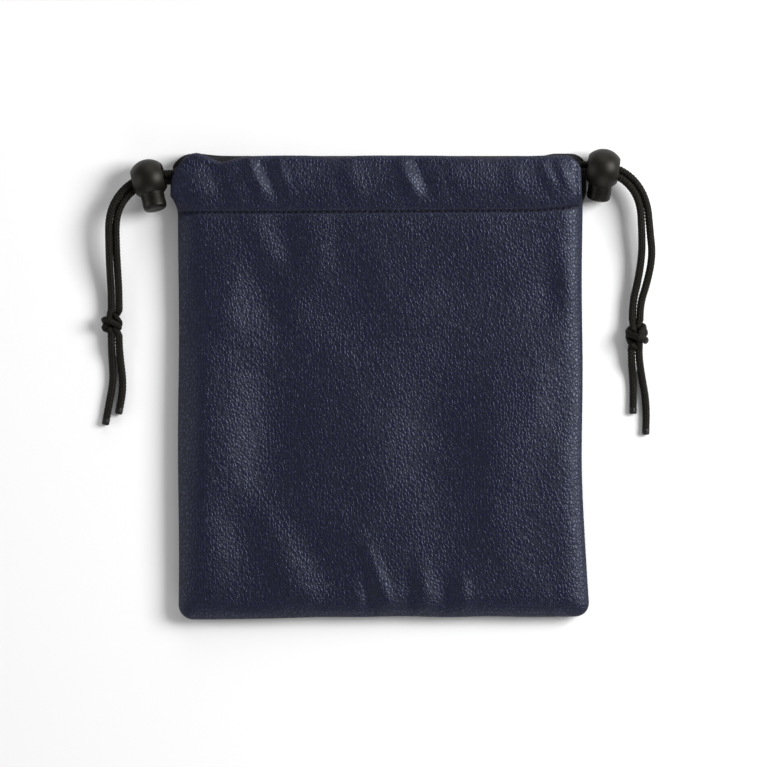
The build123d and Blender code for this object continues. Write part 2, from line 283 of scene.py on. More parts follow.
def leather_material():
    """Navy leather-look sheet: rounded pebbles parted by grooves, which are darkened with painted shade."""
    s = Shader("leather", Specular_IOR_Level=0.43, Specular_Tint=rgb(0.74, 0.81, 1.0))
    place = s.place((1, 0.8, 1))
    wander = s.node("TexNoise", {"Vector": place, "Scale": 0.45, "Detail": 2.0}).outputs["Color"]
    pushed = s.node("VectorMath", {0: wander, 1: (0.5, 0.5, 0.5)}, operation="SUBTRACT").outputs[0]
    scaled = s.node("VectorMath", {0: pushed, "Scale": 1.6}, operation="SCALE").outputs[0]
    warped = s.node("VectorMath", {0: place, 1: scaled}, operation="ADD").outputs[0]
    cells = {"Vector": warped, "Scale": 1 / PEBBLE, "Randomness": 0.86}
    edge = s.node("TexVoronoi", cells, feature="DISTANCE_TO_EDGE").outputs["Distance"]
    cell = s.node("TexVoronoi", cells, feature="SMOOTH_F1")
    pebble = s.steps(edge, 0.02, 0.26)
    dome = s.math("SUBTRACT", 1.0, s.math("POWER", cell.outputs["Distance"], 2.0))
    fine = s.noise(0.3, 4, 0.65)
    patches = s.noise(38, 2)
    height = s.math("ADD", s.math("MULTIPLY", pebble, 0.6), s.math("MULTIPLY", dome, 0.9))
    height = s.math("ADD", height, s.math("MULTIPLY", fine, 0.1))
    top = s.blend(patches, rgb(0.0060, 0.0063, 0.0240), rgb(0.0074, 0.0077, 0.0270))
    varied = s.blend(s.math("MULTIPLY", cell.outputs["Color"], 0.3), top, rgb(0.0110, 0.0117, 0.0345))
    # Painted shade: the grooves between the pebbles get a far darker colour than the pebble tops.
    colour = s.blend(pebble, rgb(0.0018, 0.0019, 0.0088), varied)
    rough = s.math("ADD", s.steps(fine, 0.3, 0.7, 0.29, 0.37), s.steps(pebble, 0.0, 1.0, 0.2, 0.0))
    grazing = s.node("LayerWeight", {"Blend": 0.5}).outputs["Facing"]
    rough = s.math("ADD", rough, s.math("MULTIPLY", grazing, 0.42))
    return s.finish(colour, rough, s.bump(height, 0.145))


def lining_material():
    """Black plain-woven lining: two sets of yarns, over and under."""
    s = Shader("lining", Specular_IOR_Level=0.3, Sheen_Weight=0.25, Sheen_Roughness=0.5)
    waves = {"Scale": 1.0, "Distortion": 0.4, "Detail": 1.0, "Detail Scale": 2.0}
    along_x = {**waves, "Vector": s.place((0.55, 0.03, 0.55))}
    along_y = {**waves, "Vector": s.place((0.03, 0.55, 0.03))}
    warp = s.node("TexWave", along_x).outputs["Fac"]
    weft = s.node("TexWave", along_y, bands_direction="Y").outputs["Fac"]
    weave = s.math("MAXIMUM", warp, weft)
    uneven = s.noise(6, 3)
    colour = s.blend(weave, rgb(0.004, 0.004, 0.0045), rgb(0.0155, 0.0145, 0.0165))
    varied = s.blend(uneven, colour, rgb(0.012, 0.0115, 0.0135))
    return s.finish(varied, s.steps(uneven, 0.3, 0.7, 0.72, 0.86), s.bump(weave, 0.09, 0.8))


def thread_material():
    """Near-black bonded sewing thread with its plies running along it."""
    s = Shader("thread", Specular_IOR_Level=0.2)
    plies = s.noise(0.16, 3, 0.6, (1, 3, 3))
    colour = s.blend(plies, rgb(0.0010, 0.0010, 0.0018), rgb(0.0045, 0.0045, 0.0070))
    return s.finish(colour, s.steps(plies, 0.3, 0.7, 0.42, 0.62), s.bump(plies, 0.05))


def cord_material():
    """Black braided polyester, with painted shade that darkens the braid where its strands dive under each
    other.
    """
    s = Shader("cord", Specular_IOR_Level=0.16, Specular_Tint=rgb(1.0, 0.93, 0.82))
    relief = s.node("Attribute", attribute_name="relief").outputs["Fac"]
    fibres = s.noise(0.14, 4, 0.7)
    worn = s.noise(9, 2)
    strand = s.blend(fibres, rgb(0.0028, 0.0024, 0.0018), rgb(0.0085, 0.0074, 0.0056))
    faded = s.blend(s.steps(worn, 0.45, 0.8, 0.0, 0.45), strand, rgb(0.0120, 0.0105, 0.0080))
    # Painted shade: where the braid's relief is low, between its strands, the colour falls to near black.
    colour = s.blend(s.steps(relief, 0.25, 0.9), rgb(0.0006, 0.0005, 0.0004), faded)
    return s.finish(colour, s.steps(fibres, 0.3, 0.7, 0.42, 0.6), s.bump(fibres, 0.07, 0.8))


def tip_material():
    """The melted end of a cord: fused, darker and glossier than the braid."""
    s = Shader("cord_tip", Specular_IOR_Level=0.3)
    lumps = s.noise(0.7, 4, 0.6)
    colour = s.blend(lumps, rgb(0.0016, 0.0014, 0.0012), rgb(0.0070, 0.0060, 0.0050))
    return s.finish(colour, s.steps(lumps, 0.3, 0.7, 0.24, 0.46), s.bump(lumps, 0.22))


def plastic_material(name, low, high, rough_from, rough_to):
    """Black moulded plastic with a fine spark-eroded texture and faint rubbed patches."""
    s = Shader(name, Specular_IOR_Level=0.26, Specular_Tint=rgb(1.0, 0.95, 0.86))
    texture = s.noise(0.11, 2, 0.6)
    rubbed = s.steps(s.noise(3.2, 5, 0.65), 0.52, 0.74)
    colour = s.blend(rubbed, low, high)
    even = s.steps(texture, 0.3, 0.7, rough_from, rough_to)
    rough = s.math("SUBTRACT", even, s.math("MULTIPLY", rubbed, 0.06))
    return s.finish(colour, rough, s.bump(texture, 0.012, 0.7))


def spring_material():
    """Bright drawn spring wire with faint drawing lines."""
    s = Shader("spring_steel", Metallic=1.0)
    lines = s.noise(0.12, 3, 0.6, (1, 6, 1))
    colour = s.blend(lines, rgb(0.40, 0.40, 0.42), rgb(0.56, 0.56, 0.57))
    return s.finish(colour, s.steps(lines, 0.3, 0.7, 0.22, 0.38), s.bump(lines, 0.01))


LEATHER_LOOK = leather_material()
LINING_LOOK = lining_material()
THREAD_LOOK = thread_material()
CORD_LOOK = cord_material()
TIP_LOOK = tip_material()
LOCK_LOOK = plastic_material(
    "lock_plastic", rgb(0.0036, 0.0031, 0.0023), rgb(0.0070, 0.0060, 0.0046), 0.42, 0.52,
)
BUTTON_LOOK = plastic_material(
    "button_plastic", rgb(0.0028, 0.0024, 0.0018), rgb(0.0055, 0.0047, 0.0037), 0.40, 0.50,
)
SPRING_LOOK = spring_material()


# ---- cords ----
def bend_points(bend, which):
    """Three corners that carry a cord a quarter turn round its bend, from the hem to heading -Y."""
    cx, cy = bend["centre"]
    out, up = bend[which]
    reach = (bend["radius"] + out) / math.cos(math.radians(15))
    corners = []
    for turn in (15, 45, 75):
        angle = math.radians(turn)
        x = cx + bend["side"] * reach * math.sin(angle)
        corners.append((x, cy + reach * math.cos(angle), bend["z"] + up))
    return corners


def hem_exit(bend, which, inside=0):
    """Where a cord leaves the end of its tunnel, or a point that far inside on the same line."""
    out, up = bend[which]
    x = bend["hem_x"] - bend["side"] * inside
    return (x, bend["centre"][1] + bend["radius"] + out, bend["z"] + up)


def from_hem(bend, which):
    """The start of a free cord's route: out of its tunnel and round its bend."""
    return [hem_exit(bend, which), *bend_points(bend, which)]


CHANNEL_ROUTES = {
    "front": [
        hem_exit(LEFT_BEND, "front"), hem_exit(LEFT_BEND, "front", inside=6.2), (-82.5, 97.2, 12.3),
        (-66.0, 94.6, 12.3), (-40.0, 93.0, 12.3), (-8.0, 95.4, 12.3), (26.0, 94.2, 12.3), (56.0, 96.2, 12.3),
        (76.0, 98.6, 12.3), hem_exit(RIGHT_BEND, "front", inside=6.8), hem_exit(RIGHT_BEND, "front"),
    ],
    "back": [
        hem_exit(LEFT_BEND, "back"), hem_exit(LEFT_BEND, "back", inside=5.7), (-83.5, 94.5, 6.0),
        (-73.5, 93.4, 3.0), (-54.0, 91.4, 3.0), (-22.0, 93.4, 3.0), (12.0, 91.8, 3.0), (46.0, 93.6, 3.0),
        (69.0, 97.0, 3.0), (78.5, 99.8, 6.0), hem_exit(RIGHT_BEND, "back", inside=6.8),
        hem_exit(RIGHT_BEND, "back"),
    ],
}
CORD_ROUTES = {
    "left_front": [
        *from_hem(LEFT_BEND, "front"),
        (-125.8, 64.5, 9.5), (-125.5, 53.5, 7.2), (-124.95, 43.5, 4.75), (-124.95, 35.6, 4.75),
    ],
    "left_back": [
        *from_hem(LEFT_BEND, "back"),
        (-122.5, 64.5, 8.3), (-122.0, 53.5, 6.2), (-121.45, 43.5, 4.75), (-121.45, 35.6, 4.75),
    ],
    "right_front": [
        *from_hem(RIGHT_BEND, "front"),
        (120.6, 71.5, 9.6), (120.8, 61.0, 7.8), (119.0, 49.0, 6.3), (116.45, 38.3, 5.5), (116.45, 31.3, 5.5),
    ],
    "right_back": [
        *from_hem(RIGHT_BEND, "back"),
        (124.5, 71.5, 8.4), (125.7, 60.5, 7.2), (123.4, 48.5, 6.0), (119.95, 38.0, 5.5), (119.95, 31.3, 5.5),
    ],
}
TAIL_ROUTES = {
    "left_outer_tail": [
        (-124.95, 23.6, 4.75), (-124.95, 19.2, 4.75), (-124.7, 11.5, REST_Z), (-124.2, 3.0, REST_Z),
        (-125.7, -5.5, REST_Z), (-127.6, -15.5, REST_Z),
    ],
    "left_inner_tail": [
        (-121.45, 23.6, 4.75), (-121.45, 19.2, 4.75), (-120.9, 11.5, REST_Z), (-119.9, 3.5, REST_Z),
        (-120.0, -4.0, REST_Z), (-121.4, -10.5, REST_Z),
    ],
    "right_inner_tail": [
        (116.0, 17.3, 5.5), (116.0, 13.2, 5.5), (116.8, 5.0, REST_Z), (117.2, -2.5, REST_Z),
        (117.0, -10.3, REST_Z),
    ],
    "right_outer_tail": [
        (119.5, 17.3, 5.5), (119.5, 13.2, 5.5), (121.0, 4.5, REST_Z), (122.7, -4.5, REST_Z),
        (123.2, -13.0, REST_Z), (122.9, -20.0, REST_Z),
    ],
}


def smooth_line(route):
    """Points in millimetres along the NURBS spline that has the route's points as its controls."""
    curve = bpy.data.curves.new("route", "CURVE")
    curve.dimensions = "3D"
    curve.resolution_u = 20
    spline = curve.splines.new("NURBS")
    spline.points.add(len(route) - 1)
    for point, place in zip(spline.points, route):
        point.co = (place[0] * MM, place[1] * MM, place[2] * MM, 1)
    spline.order_u = 3
    spline.use_endpoint_u = True
    holder = bpy.data.objects.new("route", curve)
    mesh = bpy.data.meshes.new_from_object(holder)
    line = np.array([v.co[:] for v in mesh.vertices]) / MM
    bpy.data.objects.remove(holder)
    bpy.data.curves.remove(curve)
    bpy.data.meshes.remove(mesh)
    return line


def line_lengths(line):
    """How far along the line each of its points is."""
    steps = np.linalg.norm(np.diff(line, axis=0), axis=1)
    return np.concatenate([[0], np.cumsum(steps)])


def even_line(line, spacing):
    """The same line with its points about that far apart."""
    lengths = line_lengths(line)
    count = max(3, int(round(lengths[-1] / spacing)) + 1)
    wanted = np.linspace(0, lengths[-1], count)
    return np.stack([np.interp(wanted, lengths, line[:, axis]) for axis in range(3)], axis=1)


def unit(vectors):
    """The vectors at length 1."""
    return vectors / np.linalg.norm(vectors, axis=-1, keepdims=True)


def carried_frames(line):
    """For each point two directions square to the line, carried along it without twist."""
    tangents = unit(np.gradient(line, axis=0))
    start = np.array([0.0, 0.0, 1.0])
    side = unit(start - tangents[0] * (start @ tangents[0]))
    sides = []
    for tangent in tangents:
        side = unit(side - tangent * (side @ tangent))
        sides.append(side)
    sides = np.array(sides)
    return sides, np.cross(tangents, sides)


def braid_relief(along, angle):
    """Height of the braid, 0 in its grooves and 1 on its strands, from length and angle."""
    across = angle / (2 * math.pi) * BRAID_HALF_COLUMNS
    column = np.floor(across)
    across = across - column
    slant = np.where(column % 2 == 0, 1, -1) * (across - 0.5) * BRAID_SLANT
    phase = along / BRAID_PITCH + slant
    strand = np.abs(np.sin(math.pi * phase)) ** 0.65
    return strand * np.sin(math.pi * np.clip(across, 0.04, 0.96)) ** 0.4


def tube_mesh(line, radius):
    """Points, faces and relief of a closed braided tube along a line. The radius may be one for
    each point of the line."""
    lengths = line_lengths(line)
    line = even_line(line, RING_SPACING)
    radius = np.interp(line_lengths(line), lengths, np.broadcast_to(radius, lengths.shape))
    sides, others = carried_frames(line)
    along = line_lengths(line)[:, None]
    angle = (np.arange(RING_POINTS) / RING_POINTS * 2 * math.pi)[None, :]
    height = braid_relief(along, angle)
    reach = radius[:, None] + BRAID_SWELL - BRAID_DEPTH * (1 - height)
    ring = np.cos(angle)[..., None] * sides[:, None, :] + np.sin(angle)[..., None] * others[:, None, :]
    points = (line[:, None, :] + ring * reach[..., None]).reshape(-1, 3)
    faces = grid_faces(len(line), RING_POINTS, closed=True).tolist()
    points = np.vstack([points, line[0], line[-1]])
    first, last = len(points) - 2, len(points) - 1
    start = (len(line) - 1) * RING_POINTS
    for k in range(RING_POINTS):
        after = (k + 1) % RING_POINTS
        faces.append((after, k, first))
        faces.append((start + k, start + after, last))
    heights = np.concatenate([height.ravel(), [0.5, 0.5]])
    return points, faces, heights


def cord_piece(name, line, replaces, radius=CORD_DIAMETER / 2):
    """A braided cord along a line."""
    points, faces, heights = tube_mesh(line, radius)
    piece = make_piece(name, points, faces, CORD_LOOK, "bag", replaces)
    add_attribute(piece, "relief", heights)
    return piece


def channel_cords():
    """The two drawcords inside their tunnels; only their ends show."""
    for name, route in CHANNEL_ROUTES.items():
        cord_piece(name + "_drawcord", smooth_line(route), [name + "_channel_cord"])


def free_cords():
    """The four runs from the hem through the ball locks to the knots."""
    lines = {name: smooth_line(route) for name, route in CORD_ROUTES.items()}
    return {name: (cord_piece(name + "_run", line, [name + "_cord"]), line) for name, line in lines.items()}


CORD_RUNS = free_cords()
channel_cords()


# ---- knots ----
# turn is the knot's turn about its cords, strand the width that a cord is squeezed to in it, and
# above and below are the places along X, from the centre, where the two cords come in and go out.
KNOTS = {
    "left": {
        "centre": (-123.2, 29.6, 4.75), "half_length": 6.0, "turn": 0.3, "strand": 2.35,
        "above": (-1.75, 1.75), "below": (-1.75, 1.75),
    },
    "right": {
        "centre": (117.7, 24.3, 5.5), "half_length": 7.0, "turn": 2.6, "strand": 2.75,
        "above": (-1.25, 2.25), "below": (-1.7, 1.8),
    },
}
LEAD = 24.0
LOOSE_SPACING = 1.25
CORD_GAP = 3.5
KNOT_JOIN = 0.3
KNOT_LEAD_IN = 5.0
KNOT_TAPER = 4.0
KNOT_SWELL = 0.1

# Tightening: rounds, the share of each pull and push that is taken in one round, how many widths
# along its own strand a point is blind to, and the width that the strands start from and gain.
TIGHTENING_ROUNDS = 900
PULL = 0.6
PUSH = 0.45
BLIND_WIDTHS = 1.7
START_WIDTH = 0.45
WIDTH_GAIN = 0.9
FAR = 99


def loose_knot(turn):
    """Two strands side by side along a loose overhand knot about the Y axis, from +Y to -Y. The
    knot is the trefoil as a curve of polynomials in t."""
    t = np.linspace(-2, 2, 110)
    loop = np.stack([2.6 * (t**4 - 4 * t**2) + 5, -4.4 * (t**3 - 3 * t), 0.66 * (t**5 - 10 * t)], axis=1)
    middle = even_line(np.vstack([[0, LEAD, 0], loop, [0, -LEAD, 0]]), LOOSE_SPACING)
    cos, sin = math.cos(turn), math.sin(turn)
    middle[:, [0, 2]] = middle[:, [0, 2]] @ np.array([[cos, sin], [-sin, cos]])
    sides, others = carried_frames(middle)
    ends = [math.atan2(others[k] @ (1, 0, 0), sides[k] @ (1, 0, 0)) for k in (0, -1)]
    angle = np.linspace(ends[0], ends[1], len(middle))[:, None]
    offset = (np.cos(angle) * sides + np.sin(angle) * others) * CORD_GAP / 2
    return np.stack([middle - offset, middle + offset])


def tighten(strands, thickness, rounds):
    """Pulls the strands tight between their fixed ends, while they push each other apart. They
    start thin and swell to their thickness, so that nothing passes through anything."""
    count = strands.shape[1]
    number = np.tile(np.arange(count), 2)
    strand = np.repeat([0, 1], count)
    same = strand[:, None] == strand[None, :]
    apart = np.abs(number[:, None] - number[None, :])
    for n in range(rounds):
        pull = (strands[:, :-2] + strands[:, 2:]) / 2 - strands[:, 1:-1]
        strands[:, 1:-1] += PULL * pull
        width = thickness * min(1.0, START_WIDTH + WIDTH_GAIN * n / rounds)
        spacing = np.linalg.norm(np.diff(strands[0], axis=0), axis=1).mean()
        near = same & (apart * spacing < BLIND_WIDTHS * width)
        for _ in range(2):
            points = strands.reshape(-1, 3)
            gap = points[:, None, :] - points[None, :, :]
            distance = np.sqrt((gap**2).sum(axis=2)) + np.eye(len(points)) * FAR
            overlap = np.where(near, 0, np.clip(width - distance, 0, 0.5 * width))
            push = np.einsum("ijk,ij->ik", gap, overlap / distance)
            hits = np.maximum((overlap > 0).sum(axis=1), 1)[:, None]
            moved = (points + PUSH * push / np.sqrt(hits)).reshape(strands.shape)
            strands[:, 1:-1] = moved[:, 1:-1]
    return strands


def rounded_line(line):
    """The line with its corners rounded, by cutting them twice."""
    for _ in range(2):
        quarter = line[:-1] * 0.75 + line[1:] * 0.25
        three = line[:-1] * 0.25 + line[1:] * 0.75
        line = np.vstack([line[:1], np.stack([quarter, three], axis=1).reshape(-1, 3), line[-1:]])
    return line


def knot_strand(strand, spec, number):
    """The part of a strand in the knot, led to the ends of its two cords."""
    inside = np.flatnonzero(np.abs(strand[:, 1]) < spec["half_length"] + 1.0)
    line = even_line(rounded_line(strand[inside[0] : inside[-1] + 1]), RING_SPACING)
    from_start = line_lengths(line)
    from_end = from_start[-1] - from_start
    above = spec["above"][number], spec["half_length"] + KNOT_JOIN, 0
    below = spec["below"][number], -spec["half_length"] - KNOT_JOIN, 0
    near_start = 1 - smooth(from_start / KNOT_LEAD_IN)[:, None]
    near_end = 1 - smooth(from_end / KNOT_LEAD_IN)[:, None]
    line = line + (above - line[0]) * near_start + (below - line[-1]) * near_end
    full = 1 - smooth(np.minimum(from_start, from_end) / KNOT_TAPER)
    squeezed = spec["strand"] / 2 + KNOT_SWELL
    return line, squeezed + (CORD_DIAMETER / 2 - squeezed) * full


def knot_piece(side):
    """An overhand knot tied in both cords of one side, pressed flat where it meets the floor."""
    spec = KNOTS[side]
    rounds = TIGHTENING_ROUNDS
    strands = tighten(loose_knot(spec["turn"]), spec["strand"], rounds)
    points, faces, heights, count = [], [], [], 0
    for number, strand in enumerate(strands):
        line, radius = knot_strand(strand, spec, number)
        made = tube_mesh(line, radius)
        faces += [[int(i) + count for i in face] for face in made[1]]
        count += len(made[0])
        points.append(made[0])
        heights.append(made[2])
    points = np.vstack(points) + spec["centre"]
    points[:, 2] = np.maximum(points[:, 2], FLOOR_GAP)
    piece = make_piece(side + "_overhand_knot", points, faces, CORD_LOOK, "bag", [side + "_knot"])
    add_attribute(piece, "relief", np.concatenate(heights))
    return piece


# ---- leather ----
def left_edge(y):
    """X of the pouch's left side: straight, and flared at the hem."""
    return -HALF_WIDTH - 3.3 * smooth((y - 79.5) / 16.5) + 0.25 * np.sin(y / 17)


def right_edge(y, hem_out):
    """X of the pouch's right side: straight, swung out at the bottom and moved out at the hem."""
    swing = 3.9 * np.clip((-30 - y) / 78, 0, 1) ** 2
    return 93.2 + swing + 0.2 * np.sin(y / 13 + 1) + hem_out * smooth((y - 83) / 10)


def bottom_edge(x):
    """Y of the bottom seam, which puckers a little."""
    return -107.9 + 1.3 * smooth((x + 85) / 80) + 0.22 * np.sin(x / 6.5) * hill(x - 20, 60)


def corner_drop(inside, radius):
    """How far a rounded corner lies below the straight edge, at a distance in from the side."""
    beside = np.clip(1 - inside / radius, 0, 1)
    return radius * (1 - np.sqrt(1 - beside**2))


def front_top_edge(x):
    """Y of the front panel's fold at the mouth, with its dips and cut-back corners."""
    dip = 3.1 * np.exp(-np.abs((x + 74) / np.where(x < -74, 5.4, 8.5)) ** 1.4)
    dips = dip + 0.8 * hill(x + 21, 8) + 1.0 * hill(x - 50, 15)
    corners = corner_drop(x + 97.4, 13.5) + corner_drop(92.7 - x, 6)
    return TOP_Y + 1.5 * hill(x + 86, 6.5) - dips - corners


def back_top_edge(x):
    """Y of the back panel's fold at the mouth, a little higher and fuller at its corners."""
    corners = corner_drop(x + 97.4, 9) + corner_drop(95.4 - x, 7.5)
    return TOP_Y + 0.3 + 1.1 * hill(x + 86, 8) + 1.1 * smooth((x - 74) / 7) - corners


def stitch_line(x):
    """Y of the hem stitching, which drifts upwards to the right."""
    return STITCH_Y + 0.006 * x + 2.3 * np.clip((x - 66) / 27, 0, 1) ** 2


# Broad soft slopes of the front: x, y, half width, half length, slant and height. A slope with a
# positive height faces +X, and one with a negative height faces -X.
SWELLS = [
    (-63, -20, 19, 42, -0.05, 4.7), (-72, -74, 14, 20, 0.2, 2.4), (-38, -80, 13, 25, 0.44, 2.1),
    (-50, 68, 8, 14, 0.25, 1.4), (-64, 46, 12, 16, 0.1, 1.9), (-24, 64, 6, 14, 0.0, 0.7),
    (-38, 66, 7, 14, 0.0, -0.8), (-7, 58, 11, 13, 0.0, -0.8), (-44, 35, 9, 9, 0.0, -0.8),
    (0, 34, 24, 12, 0.0, -1.6), (-80, 30, 12, 7, 0.0, -1.9), (8, -26, 18, 26, 0.1, 1.5),
    (43, -35, 20, 55, 0.0, -2.6), (83, 45, 8, 13, 0.0, -1.9), (78, -4, 11, 19, -0.15, 1.7),
    (-87, 0, 7, 60, 0.0, -0.9), (60, 72, 20, 14, 0.3, 0.9),
]
# Puckers that run in from a seam: from x, y to x, y, half width and height.
BOTTOM_PUCKERS = [
    (6, -108, -9, -68, 3.6, 1.25), (-4, -108, -9, -86, 2.4, -1.0), (21, -107, 18, -74, 4.2, 1.1),
    (13.5, -107, 12, -86, 2.8, -0.7), (39, -107, 37, -82, 3.4, 1.0), (30, -107, 29, -86, 3.0, -0.7),
    (-22, -108, -20, -92, 4.0, 0.4), (-40, -108, -38, -92, 4.5, -0.4), (62, -107, 60, -94, 4.5, 0.3),
]
HEM_PUCKERS = [
    (-61.5, 105, -52, 82, 2.7, 1.05), (-55, 104, -45, 82, 2.5, -0.7), (-48, 104, -40.5, 84, 2.5, 0.75),
    (-16, 103, -8, 84, 5.0, 0.5), (8.5, 105, 19, 82, 3.0, 1.15), (15.5, 105, 26, 82, 2.8, -0.7),
    (34, 103, 38, 85, 4.0, 0.5), (-80, 104, -70, 84, 5.0, -0.8), (60, 103, 66, 84, 4.5, 0.5),
    (74, 104, 82, 86, 2.4, 0.8), (82, 104, 88, 88, 2.2, 0.8),
]


def swells(x, y):
    """Height of the broad slopes."""
    total = np.zeros(np.broadcast(x, y).shape)
    for cx, cy, across, along, slant, height in SWELLS:
        sideways = ((x - cx) + slant * (y - cy)) / across
        total -= height * sideways * np.exp(-(sideways**2) - ((y - cy) / along) ** 2)
    return total


def puckers(x, y, lines):
    """Height of the short ridges and creases, which start full and fade along their length."""
    total = np.zeros(np.broadcast(x, y).shape)
    for x0, y0, x1, y1, width, height in lines:
        run = np.array([x1 - x0, y1 - y0])
        length = np.hypot(*run)
        along = ((x - x0) * run[0] + (y - y0) * run[1]) / length**2
        sideways = ((x - x0) * run[1] - (y - y0) * run[0]) / length
        fade = smooth((along + 0.1) / 0.25) * (1 - smooth((along - 0.45) / 0.65))
        total += height * fade * hill(sideways, width)
    return total


def corner_square(x, y, radius=7.0):
    """The bottom corners' squares mapped onto quarter circles. Gives new x and y and how far
    each point is from the edge, measured in from the sides and the bottom."""
    p = (np.abs(x) - (HALF_WIDTH - radius)) / radius
    q = (BOTTOM_Y + radius - y) / radius
    p_in, q_in = np.clip(p, 0, 1), np.clip(q, 0, 1)
    p_out = p_in * np.sqrt(1 - q_in**2 / 2)
    q_out = q_in * np.sqrt(1 - p_in**2 / 2)
    both = (p > 0) & (q > 0)
    new_x = np.where(both, np.sign(x) * (HALF_WIDTH - radius + radius * p_out), x)
    new_y = np.where(both, BOTTOM_Y + radius - radius * q_out, y)
    straight = np.minimum(HALF_WIDTH - np.abs(x), y - BOTTOM_Y)
    edge = np.where(both, radius * (1 - np.hypot(p_out, q_out)), straight)
    return new_x, new_y, np.clip(edge, 0, None)


def edge_steps(roll, spacing, far):
    """Distances in from an edge: close together over the rolled edge, then evenly spaced."""
    rolled = roll * (1 - np.cos(np.linspace(0, math.pi / 2, 15)))
    even = np.linspace(roll, far, int((far - roll) / spacing) + 1)[1:]
    return np.concatenate([rolled, even])


def rolled(edge, roll, power):
    """Share of the full height at a distance in from the edge, rising as a rounded shoulder."""
    inward = 1 - np.clip(edge / roll, 0, 1)
    return (1 - inward**power) ** (1 / power)


def panel_plan(top, top_edge, hem_out, spacing):
    """A panel's x, y and distance in from its edge, in rows from the bottom seam to top. hem_out
    is how far its right side stands out at the hem."""
    half = edge_steps(SHOULDER, spacing, HALF_WIDTH)
    columns = np.concatenate([-HALF_WIDTH + half, (HALF_WIDTH - half)[::-1][1:]])
    rows = BOTTOM_Y + edge_steps(SHOULDER, spacing, top - BOTTOM_Y)
    at_stitching = np.arange(STITCH_Y - 2.4, STITCH_Y + 4, 0.4)
    rows = np.unique(np.concatenate([rows, at_stitching[at_stitching < top - 0.2]]).round(2))
    x, y, edge = corner_square(*np.meshgrid(columns, rows))
    share = (x + HALF_WIDTH) / (2 * HALF_WIDTH)
    left = left_edge(y)
    new_x = left + (right_edge(y, hem_out) - left) * share
    new_y = y + (bottom_edge(new_x) - BOTTOM_Y) * smooth((-55 - y) / 50)
    new_y = new_y + (top_edge(new_x) - TOP_Y) * np.clip((y - 80) / 24, 0, 1)
    return new_x, new_y, edge


def front_height(x, y, edge):
    """Height of the front leather's outer face, its edges rolled down to the seam or, at the
    hem, to the open end of the tunnel."""
    from_stitch = y - stitch_line(x)
    body = BODY_TOP + HEM_LIFT * smooth(1 + from_stitch / HEM_LIFT_RUN)
    body = body + swells(x, y) + puckers(x, y, BOTTOM_PUCKERS)
    body = body + 0.16 * noise_field(x, y, 15, 3.1) + 0.03 * noise_field(x, y, 5, 7.7)
    puff = HEM_TOP + puckers(x, y, HEM_PUCKERS) + 0.30 * noise_field(x, y, 11, 5.5)
    rise = np.sin(math.pi / 2 * np.clip(from_stitch / HEM_CREST, 0, 1))
    fall = MOUTH_FALL * smooth((from_stitch - HEM_CREST) / 12)
    groove = 0.7 * hill(from_stitch, 0.8) + 0.3 * hill(from_stitch, 2.5)
    top = body + (puff - body) * rise - fall - groove
    turned = 0.45 * hill(edge - 2.6, 0.7) * smooth(from_stitch / 3)
    base = SEAM_Z + LIP + TUNNEL_RISE * smooth(from_stitch / 5)
    return base + (top - base) * rolled(edge, SHOULDER, SHOULDER_POWER) - turned


def back_height(x, y, edge):
    """Height of the back leather's outer face, which lies on the surface and rolls up at its edges."""
    from_stitch = y - stitch_line(x)
    sag = 0.35 * (1 + noise_field(x, y, 28, 11.3)) + 0.12 * (1 + noise_field(x, y, 7, 2.2))
    groove = 0.7 * hill(from_stitch, 1.2)
    low_corner = smooth((x - 84) / 8) * smooth((y - 84) / 8)
    base = SEAM_Z - SEAM_GAP - LIP - 2.3 * low_corner
    rest = 0.05 + np.clip(sag, 0, None) * smooth(edge / 12) + groove
    return base + (rest - base) * rolled(edge, BACK_SHOULDER, BACK_SHOULDER_POWER)


# The fold at the mouth is narrower and drawn in by FOLD_DRAW at its ends, over FOLD_CORNER.
FOLD_DRAW = 2.0
FOLD_CORNER = 8


def fold_rows(points, edge_row, radius, returned, up):
    """A panel's points with rows that carry its last row round the fold at the mouth and back
    inside: a half turn of the radius, then flat for the returned length. up is 1 if the fold goes
    upwards and -1 if it goes downwards."""
    last = points[-1]
    narrow = radius * (0.55 + 0.45 * smooth(edge_row / FOLD_CORNER))
    drawn_in = -FOLD_DRAW * np.sign(last[:, 0]) * (1 - smooth(edge_row / FOLD_CORNER))
    rows = []
    for turn in np.linspace(0, math.pi, 10)[1:]:
        row = last.copy()
        row[:, 0] += drawn_in * turn / math.pi
        row[:, 1] += narrow * math.sin(turn)
        row[:, 2] += up * narrow * (1 - math.cos(turn))
        rows.append(row)
    turned = rows[-1]
    for back in np.linspace(0, returned, 4)[1:]:
        row = turned.copy()
        row[:, 1] -= back
        rows.append(row)
    return np.concatenate([points, rows])


def panel_edge(rows, columns, top_row):
    """Indices of a panel's edge: down the left side from top_row, along the bottom, up the right."""
    index = np.arange(rows * columns).reshape(rows, columns)
    return np.concatenate([index[top_row::-1, 0], index[0, 1:-1], index[: top_row + 1, -1]])


def inward_normals(line):
    """Directions in the plan that point in from a line that goes round the pouch anticlockwise."""
    along = np.gradient(line, axis=0)
    return unit(np.stack([-along[:, 1], along[:, 0], np.zeros(len(line))], axis=1))


# The lip's rings: their share of its reach and of its drop.
LIP_PROFILE = ((0.08, 0.45), (0.3, 0.8), (0.65, 0.96), (1.0, 1.0))


